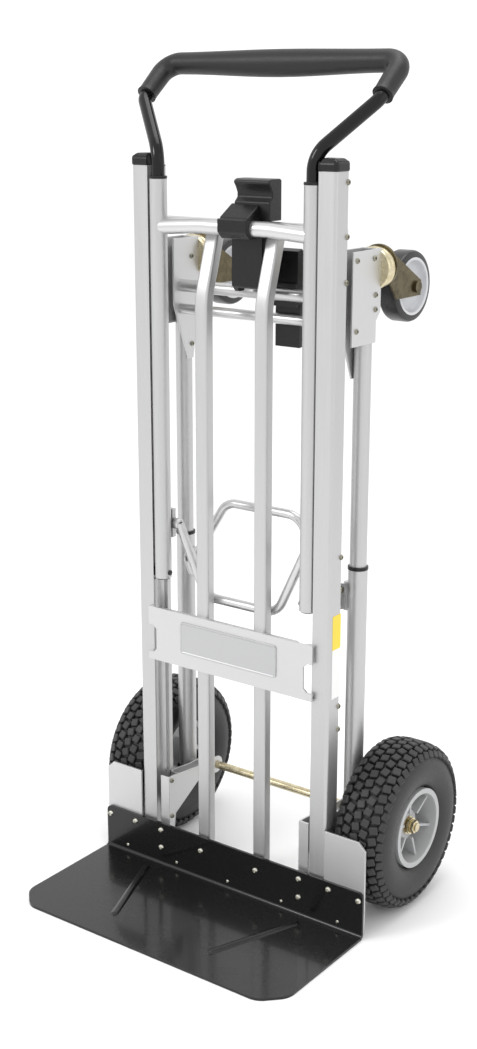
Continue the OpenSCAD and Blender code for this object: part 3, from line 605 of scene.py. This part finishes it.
def tread_block(across, phase, tilt, number):
    bm = bmesh.new()
    bmesh.ops.create_cube(bm, size=1)
    narrow = 10.5 if abs(across) > 30 else 12
    bmesh.ops.scale(bm, vec=Vector((narrow, 12.0, 8)) * MM, verts=bm.verts)
    bmesh.ops.bevel(bm, geom=bm.edges[:], affect="EDGES", offset=1.3 * MM, offset_type="OFFSET",
                    segments=1, profile=0.5, clamp_overlap=True, material=-1)
    twist = Matrix.Rotation(math.radians(14 if number % 2 else -14), 4, "Z")
    lean = Matrix.Rotation(math.radians(tilt), 4, "Y")
    height = {0: 123.0, 14: 122.7, 27.5: 119.8, 36.5: 113.2}[abs(across)]
    if abs(across) > 30:
        lean = lean @ Matrix.Translation((0, 0, -1.5 * MM))
    shift = Matrix.Translation(Vector((across, 0, height)) * MM)
    start = Matrix.Rotation(2 * math.pi * phase / BLOCKS_ROUND, 4, "X")
    bmesh.ops.transform(bm, matrix=start @ shift @ lean @ twist, verts=bm.verts)
    share = (BLOCKS_ROUND - 1) / BLOCKS_ROUND
    bmesh.ops.spin(bm, geom=bm.verts[:] + bm.edges[:] + bm.faces[:], cent=(0, 0, 0),
                   axis=(1, 0, 0), angle=2 * math.pi * share, steps=BLOCKS_ROUND - 1,
                   use_duplicate=True)
    return bm


def wheel_centre(node):
    low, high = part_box(node)
    return (low + high) / 2


for hand in both_sides:
    centre = wheel_centre("tyre_" + hand)
    outline = [(-x * MM, r * MM) for x, r in CARCASS] + [(x * MM, r * MM) for x, r in reversed(CARCASS)]
    bm = ring_solid(bmesh.new(), outline, (1, 0, 0), centre, steps=88)
    carcass = piece("tyre_carcass_" + hand, bm, "wheel_" + hand, tyre_rubber, ["tyre_" + hand],
                    smooth=80)
    rounder = carcass.modifiers.new("rounder", "SUBSURF")
    rounder.levels = rounder.render_levels = 1
    tread = bmesh.new()
    for number, (across, phase, tilt) in enumerate(ROWS):
        row = tread_block(across, phase, tilt, number)
        holder = bpy.data.meshes.new("row")
        row.to_mesh(holder)
        row.free()
        tread.from_mesh(holder)
        bpy.data.meshes.remove(holder)
    bmesh.ops.translate(tread, verts=tread.verts, vec=centre)
    piece("tyre_tread_" + hand, tread, "wheel_" + hand, tyre_rubber, smooth=30)
print("tyres with", BLOCKS_ROUND * len(ROWS), "blocks each")

# %% [markdown]
# The wheel centre is moulded in grey plastic: a rim with a broad flat lip, a barrel that goes in
# to a web, a boss round the bearing and thin ribs between them. The rim and boss are one spun
# outline whose corners are bevelled. A rib is a cube pulled narrower towards the lip.

# %% Wheel centres
def wheel_side(node):
    return 1 if wheel_centre(node).x > 0 else -1


HUB = ((-38, 14), (-38, 24), (-5, 24), (-5, 50.5), (-25, 52), (-25, 60), (25, 60), (25, 60.8),
       (38, 60.8), (38, 53), (34, 52.2), (2, 49.5), (2, 25), (19, 22.5), (19, 14))
for hand in both_sides:
    node = "wheel_hub_" + hand
    side = wheel_side(node)
    tyre_middle = wheel_centre("tyre_" + hand)
    outline = [(side * a * MM, r * MM) for a, r in HUB]
    bm = ring_solid(bmesh.new(), outline, (1, 0, 0), (0, 0, 0), steps=72)
    corners = [e for e in bm.edges if e.calc_face_angle(0) > math.radians(40)]
    bmesh.ops.bevel(bm, geom=corners, affect="EDGES", offset=0.9 * MM, offset_type="OFFSET",
                    segments=2, profile=0.5, clamp_overlap=True, material=-1)
    holder = bpy.data.meshes.new("hub")
    bm.to_mesh(holder)
    bm.free()
    hub = bmesh.new()
    for i in range(6):
        rib = bmesh.ops.create_cube(hub, size=1)["verts"]
        bmesh.ops.scale(hub, vec=Vector((27, 4.2, 31)) * MM, verts=rib)
        outer = [v for v in rib if v.co.x * side > 0 and v.co.z > 0]
        inner = [v for v in rib if v.co.x * side > 0 and v.co.z < 0]
        bmesh.ops.translate(hub, vec=(side * 1.5 * MM, 0, 0), verts=outer)
        bmesh.ops.translate(hub, vec=(-side * 2 * MM, 0, 0), verts=inner)
        bmesh.ops.translate(hub, vec=(side * 14 * MM, 0, 37 * MM), verts=rib)
        turn = Matrix.Rotation(math.radians(11 + i * 60), 3, "X")
        bmesh.ops.rotate(hub, matrix=turn, cent=(0, 0, 0), verts=rib)
    bmesh.ops.bevel(hub, geom=hub.edges[:], affect="EDGES", offset=0.7 * MM, offset_type="OFFSET",
                    segments=2, profile=0.5, clamp_overlap=True, material=-1)
    hub.from_mesh(holder)
    bpy.data.meshes.remove(holder)
    bmesh.ops.translate(hub, verts=hub.verts, vec=tyre_middle)
    steady_shading(piece("wheel_centre_" + hand, hub, "wheel_" + hand, hub_plastic, [node]))
print("wheel centres with 6 ribs")

# %% [markdown]
# ## Fasteners
#
# Every drawn bolt is a plain cylinder. The real ones have domed heads with a socket. The drawn
# node is taken apart into its loose islands, each island's box says where a head sits and which
# way it points, and a domed head or a plain pin takes its place.

# %% Bolt heads and pins
def islands(node):
    bm = bmesh.new()
    bm.from_mesh(frame["nodes"][node].data)
    bmesh.ops.remove_doubles(bm, verts=bm.verts, dist=2e-6)
    boxes, seen = [], set()
    for first in bm.verts:
        if first in seen:
            continue
        group, waiting = [], [first]
        seen.add(first)
        while waiting:
            vert = waiting.pop()
            group.append(vert.co.copy())
            for e in vert.link_edges:
                other = e.other_vert(vert)
                if other not in seen:
                    seen.add(other)
                    waiting.append(other)
        boxes.append((Vector(min(c[i] for c in group) for i in range(3)),
                      Vector(max(c[i] for c in group) for i in range(3))))
    bm.free()
    return boxes


def add_head(bm, centre, way, radius, height):
    """A domed head standing on centre and pointing along way, with a socket in it."""
    turn = Vector((0, 0, 1)).rotation_difference(way).to_matrix().to_4x4()
    spot = Matrix.Translation(centre + way * height / 2) @ turn
    head = bmesh.ops.create_cone(bm, cap_ends=True, segments=20, radius1=radius,
                                 radius2=radius * 0.8, depth=height, matrix=spot)["verts"]
    faces = {f for v in head for f in v.link_faces if len(f.verts) > 4}
    crown = max(faces, key=lambda f: f.calc_center_median().dot(way))
    rim = list(crown.edges)
    bmesh.ops.inset_region(bm, faces=[crown], thickness=radius * 0.36)
    bmesh.ops.translate(bm, verts=crown.verts, vec=way * height * 0.12)
    bmesh.ops.inset_region(bm, faces=[crown], thickness=radius * 0.06)
    bmesh.ops.translate(bm, verts=crown.verts, vec=-way * height * 0.6)
    bmesh.ops.bevel(bm, geom=rim, affect="EDGES", offset=height * 0.3, offset_type="OFFSET",
                    segments=3, profile=0.5, clamp_overlap=True, material=-1)


heads = 0
for node in ("toe_bolts", "frame_bolts", "leg_bolts", "caster_bolts"):
    bm = bmesh.new()
    for low, high in islands(node):
        centre, size = (low + high) / 2, high - low
        axis = 1 if size.y < min(size.x, size.z) * 0.9 else 0
        across = (size.z + (size.x if axis == 1 else size.y)) / 4
        if axis == 1:
            add_head(bm, Vector((centre.x, high.y, centre.z)), Vector((0, -1, 0)), across, size.y)
        elif size.x < 8 * MM:
            outward = 1 if (abs(centre.x) > 0.15) == (centre.x > 0) else -1
            face = low.x if outward > 0 else high.x
            add_head(bm, Vector((face, centre.y, centre.z)), Vector((outward, 0, 0)), across, size.x)
        else:
            outward = 1 if centre.x > 0 else -1
            turn = Matrix.Translation(centre) @ Matrix.Rotation(math.pi / 2, 4, "Y")
            bmesh.ops.create_cone(bm, cap_ends=True, segments=24, radius1=across * 0.8,
                                  radius2=across * 0.8, depth=size.x - 1 * MM, matrix=turn)
            face = (high.x if outward > 0 else low.x) - outward * 3 * MM
            add_head(bm, Vector((face, centre.y, centre.z)), Vector((outward, 0, 0)), across, 3 * MM)
        heads += 1
    piece(node + "_domed", bm, body_of[node], material_for(node), [node])
print("fasteners", heads)

# %% [markdown]
# The axle nuts are hexagons with turned corners on a round washer. A six-sided cone with a bevel
# on its rims gives the nut, and a short spun ring gives the washer.

# %% Axle nuts and washers
bm = bmesh.new()
for low, high in islands("axle_nuts"):
    outward = 1 if low.x > 0 else -1
    centre = (low + high) / 2
    face = low.x if outward > 0 else high.x
    turn = Matrix.Rotation(math.pi / 2 * outward, 4, "Y")
    washer = Matrix.Translation(Vector((face + outward * 0.9 * MM, centre.y, centre.z))) @ turn
    bmesh.ops.create_cone(bm, cap_ends=True, segments=40, radius1=13 * MM, radius2=12.7 * MM,
                          depth=1.8 * MM, matrix=washer)
    body = Matrix.Translation(Vector((face + outward * 5.4 * MM, centre.y, centre.z))) @ turn
    nut = bmesh.ops.create_cone(bm, cap_ends=True, segments=6, radius1=10.5 * MM,
                                radius2=10.5 * MM, depth=7.4 * MM, matrix=body)["verts"]
    edges = {e for v in nut for e in v.link_edges}
    bmesh.ops.bevel(bm, geom=list(edges), affect="EDGES", offset=0.9 * MM, offset_type="OFFSET",
                    segments=3, profile=0.5, clamp_overlap=True, material=-1)
piece("axle_nuts_hex", bm, "frame", yellow_zinc, ["axle_nuts"])
print("two axle nuts")

# %% [markdown]
# ## Casters
#
# Each caster hangs from a stack of pressed rings, the swivel race. Its outline is spun round the
# swivel axis. The wheel is a spun rubber tread with rounded shoulders on a pale plastic centre
# that is dished on both faces.

# %% Caster races, treads and centres
RACE = ((0, 7), (0, 21.5), (1.2, 23), (3.4, 23), (4.6, 21.2), (5.4, 20.2), (6.4, 21.6), (8.6, 21.8),
        (10, 20), (11, 18.4), (12.2, 19.2), (14.2, 18.8), (15.6, 16.8), (15.8, 7))
TREAD = ((-15, 38), (-15, 45.5), (-13.4, 49.3), (-10, 50.8), (10, 50.8), (13.4, 49.3),
         (15, 45.5), (15, 38))
DISH = ((-15.2, 6.6), (-15.2, 13), (-13.4, 15), (-6, 17), (-5, 20), (-5, 32), (-8, 35), (-14.2, 35.6),
        (-15.1, 36.6), (-15.1, 39.4), (15.1, 39.4), (15.1, 36.6), (14.2, 35.6), (8, 35), (5, 32),
        (5, 20), (6, 17), (13.4, 15), (15.2, 13), (15.2, 6.6))


def fitted(outline, node, axis):
    """Scales an outline in millimetres so that it spans the drawn node along its axis and radius."""
    low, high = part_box(node)
    size = high - low
    spans = [a for a, r in outline]
    stretch = size.dot(Vector(axis)) / (max(spans) - min(spans))
    grow = size.z / 2 / max(r for a, r in outline)
    shift = -(max(spans) + min(spans)) / 2
    return [((a + shift) * stretch, r * grow) for a, r in outline]


for hand in both_sides:
    for kind, outline, axis, body, material in (
            ("caster_race", RACE, (0, 1, 0), "caster_frame", yellow_zinc),
            ("caster_tyre", TREAD, (1, 0, 0), "caster_wheel_" + hand, caster_rubber),
            ("caster_hub", DISH, (1, 0, 0), "caster_wheel_" + hand, caster_plastic)):
        node = f"{kind}_{hand}"
        bm = ring_solid(bmesh.new(), fitted(outline, node, axis), axis, wheel_centre(node), steps=64)
        steady_shading(piece(node + "_turned", bm, body, material, [node], smooth=40))

# %% [markdown]
# ## The latch
#
# The lever that frees the leg frame clips over the handle's cross tube. Its thumb end stands up
# behind the tube: its front face is scooped out under a lip, so a thumb can hook it. The side
# view of that shape is drawn once with a few vertices, extruded across, and its edges rounded.

# %% Latch lever
def slab(bm, outline, x0, x1):
    """Extrudes a side view, a list of (y, z), from x0 to x1."""
    verts = [bm.verts.new((x0, y, z)) for y, z in outline]
    face = bm.faces.new(verts)
    grown = bmesh.ops.extrude_face_region(bm, geom=[face])["geom"]
    bmesh.ops.translate(bm, vec=(x1 - x0, 0, 0),
                        verts=[g for g in grown if isinstance(g, bmesh.types.BMVert)])


def rounded_edges(bm, width, segments=3, turn=30):
    sharp = [e for e in bm.edges if e.calc_face_angle(0) > math.radians(turn)]
    bmesh.ops.bevel(bm, geom=sharp, affect="EDGES", offset=width * MM, offset_type="OFFSET",
                    segments=segments, profile=0.5, clamp_overlap=True, material=-1)


low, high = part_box("latch_lever")
tube_y, tube_z = middle_y, top
back, crest = high.y, high.z
# Each side view is a list of corners, measured from the crest, the back and the cross tube
thumb = [(back, crest - 56.3 * MM), (back, crest - 2 * MM), (back - 3 * MM, crest),
         (back - 24 * MM, crest), (back - 30.5 * MM, crest - 2.5 * MM),
         (back - 30.5 * MM, crest - 6 * MM), (back - 26 * MM, crest - 12 * MM),
         (back - 22.5 * MM, crest - 19 * MM), (back - 22.5 * MM, crest - 25 * MM),
         (back - 26.5 * MM, crest - 29 * MM), (back - 29 * MM, crest - 31 * MM),
         (back - 29 * MM, crest - 56.3 * MM)]
saddle = [(low.y + 4 * MM, tube_z + 3 * MM), (low.y + 4 * MM, tube_z + 12 * MM),
          (low.y + 6 * MM, tube_z + 15.5 * MM),
          (back - 29 * MM, crest - 34 * MM), (back - 10 * MM, crest - 34 * MM),
          (back - 10 * MM, crest - 56.3 * MM), (tube_y + 12 * MM, tube_z + 3 * MM)]
nose = [(low.y, tube_z - 5 * MM), (low.y, tube_z + 13 * MM), (tube_y + 13 * MM, tube_z + 13 * MM),
        (tube_y + 14.5 * MM, tube_z - 4 * MM), (tube_y + 8 * MM, tube_z - 14.5 * MM),
        (tube_y - 8 * MM, tube_z - 14.5 * MM)]
bm = bmesh.new()
slab(bm, thumb, high.x - 60 * MM, high.x)
slab(bm, saddle, low.x + 1 * MM, low.x + 49 * MM)
slab(bm, nose, low.x, low.x + 50 * MM)
bmesh.ops.recalc_face_normals(bm, faces=bm.faces)
rounded_edges(bm, 1.8)
steady_shading(piece("latch_lever_moulded", bm, "latch_lever", black_plastic, ["latch_lever"]))
print("latch lever", round(high.z - low.z, 3), "m tall")

# %% [markdown]
# ## Badge and label
#
# The cross plate carries a pressed badge. It stays blank here: a thin plate with round corners,
# a raised border and a sunk field, made by insetting the front face and pushing it back. The
# outer face of the right rail carries a two-part paper label, also blank.

# %% Blank badge
low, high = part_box("badge_plate")
centre, size = (low + high) / 2, high - low
bm = bmesh.new()
bmesh.ops.create_cube(bm, size=1)
bmesh.ops.scale(bm, vec=size, verts=bm.verts)
uprights = [e for e in bm.edges if abs((e.verts[0].co - e.verts[1].co).y) > 0.5 * size.y]
bmesh.ops.bevel(bm, geom=uprights, affect="EDGES", offset=5 * MM, offset_type="OFFSET", segments=6,
                profile=0.5, clamp_overlap=True, material=-1)
front = min(bm.faces, key=lambda f: f.calc_center_median().y)
bmesh.ops.inset_region(bm, faces=[front], thickness=2.2 * MM)
bmesh.ops.inset_region(bm, faces=[front], thickness=0.8 * MM)
bmesh.ops.translate(bm, verts=front.verts, vec=(0, 0.6 * MM, 0))
bmesh.ops.translate(bm, verts=bm.verts, vec=centre)
piece("badge_blank", bm, "frame", badge_aluminium, ["badge_plate"], smooth=25)
print("badge", [round(s, 3) for s in size])

# %% [markdown]
# The label is a sheet too thin to shape: a grid face with clipped corners, given the thickness of
# paper and set a tenth of a millimetre proud of the rail.

# %% Blank label on the right rail
label_yellow = finish("label_yellow", (0.80, 0.60, 0.03), (0.86, 0.66, 0.05), 0.45, EVEN,
    worn=(0.8, 0.78, 0.7), wear_amount=0.2, dusty=0.05, bump=0.03)
label_white = finish("label_white", (0.78, 0.78, 0.77), (0.84, 0.84, 0.83), 0.45, EVEN,
    worn=(0.7, 0.7, 0.7), wear_amount=0.2, dusty=0.05, bump=0.03)
low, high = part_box("rail_right")
for name, material, bottom, top_edge in (("label_upper", label_yellow, 426, 477),
                                         ("label_lower", label_white, 352, 426)):
    bm = bmesh.new()
    bmesh.ops.create_grid(bm, x_segments=1, y_segments=1, size=0.5)
    bmesh.ops.scale(bm, vec=((top_edge - bottom) * MM, 21 * MM, 1), verts=bm.verts)
    bmesh.ops.bevel(bm, geom=bm.verts[:], affect="VERTICES", offset=1.5 * MM, offset_type="OFFSET",
                    segments=3, profile=0.5, clamp_overlap=True, material=-1)
    bmesh.ops.solidify(bm, geom=bm.faces[:], thickness=0.15 * MM)
    turn = Matrix.Translation((high.x + 0.1 * MM, high.y - 12.5 * MM, (bottom + top_edge) / 2 * MM)) \
        @ Matrix.Rotation(-math.pi / 2, 4, "Y")
    bmesh.ops.transform(bm, matrix=turn, verts=bm.verts)
    piece(name, bm, "frame", material, smooth=30)
print("label on the right rail")

# %% [markdown]
# ## The stage
#
# The cart stands on a plain pale floor in soft light. Bright metal only shows what is around it,
# so the world is white and three large area lights lay soft highlights along the tubes. The
# camera stands to the right of the cart, a little above its middle.

# %% Floor
floor_material = bpy.data.materials.new("pale_floor")
floor_material.use_nodes = True
tree = floor_material.node_tree
shader = tree.nodes["Principled BSDF"]
where = tree.nodes.new("ShaderNodeTexCoord")
mottle = noise(tree, 3, 4)
tree.links.new(where.outputs["Object"], mottle.inputs["Vector"])
tree.links.new(mixed(tree, mottle.outputs["Fac"], (0.93, 0.93, 0.93), (0.95, 0.95, 0.95)),
               shader.inputs["Base Color"])
shader.inputs["Roughness"].default_value = 0.9
bm = bmesh.new()
bmesh.ops.create_grid(bm, x_segments=1, y_segments=1, size=20)
mesh = bpy.data.meshes.new("floor")
bm.to_mesh(mesh)
bm.free()
mesh.materials.append(floor_material)
floor = bpy.data.objects.new("floor", mesh)
bpy.context.scene.collection.objects.link(floor)
print("floor laid")

# %% [markdown]
# The world does most of the lighting. The key comes from the front left, the side lamp fills the
# right rail, and the top lamp lifts the caps, the bow and the deck of the toe plate.

# %% Lights
scene = bpy.context.scene
scene.view_settings.view_transform = "Standard"
world = bpy.data.worlds.new("studio")
world.use_nodes = True
world.node_tree.nodes["Background"].inputs["Color"].default_value = (1, 1, 1, 1)
world.node_tree.nodes["Background"].inputs["Strength"].default_value = 1.12
scene.world = world


def area_light(name, spot, aim, size, power):
    lamp = bpy.data.lights.new(name, "AREA")
    lamp.shape, lamp.size, lamp.energy = "SQUARE", size, power
    holder = bpy.data.objects.new(name, lamp)
    holder.location = spot
    holder.rotation_euler = (Vector(aim) - Vector(spot)).to_track_quat("-Z", "Y").to_euler()
    scene.collection.objects.link(holder)


area_light("key", (-1.6, -2.6, 2.6), (0, 0, 0.6), 0.9, 30)
area_light("side", (2.8, 0.2, 1.6), (0, 0, 0.6), 2.0, 5)
area_light("top", (0.2, 0.4, 3.2), (0, 0, 0.5), 1.6, 22)
print("three lights")

# %% [markdown]
# A long lens from a few steps away keeps the uprights nearly parallel.

# %% Camera
camera_data = bpy.data.cameras.new("camera")
camera_data.lens = 52.32
camera_data.sensor_width = 36
camera = bpy.data.objects.new("camera", camera_data)
camera.location = (1.2686, -1.71015, 1.1845)
aim = Vector((0.0210, -0.02285, 0.5901))
camera.rotation_euler = (aim - camera.location).to_track_quat("-Z", "Y").to_euler()
scene.collection.objects.link(camera)
scene.camera = camera
print("camera", [round(c, 2) for c in camera.location])

# %% Size and close
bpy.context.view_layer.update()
triangles = sum(len(p.vertices) - 2 for obj in made for p in obj.data.polygons)
print("pieces", len(made), "triangles", triangles)
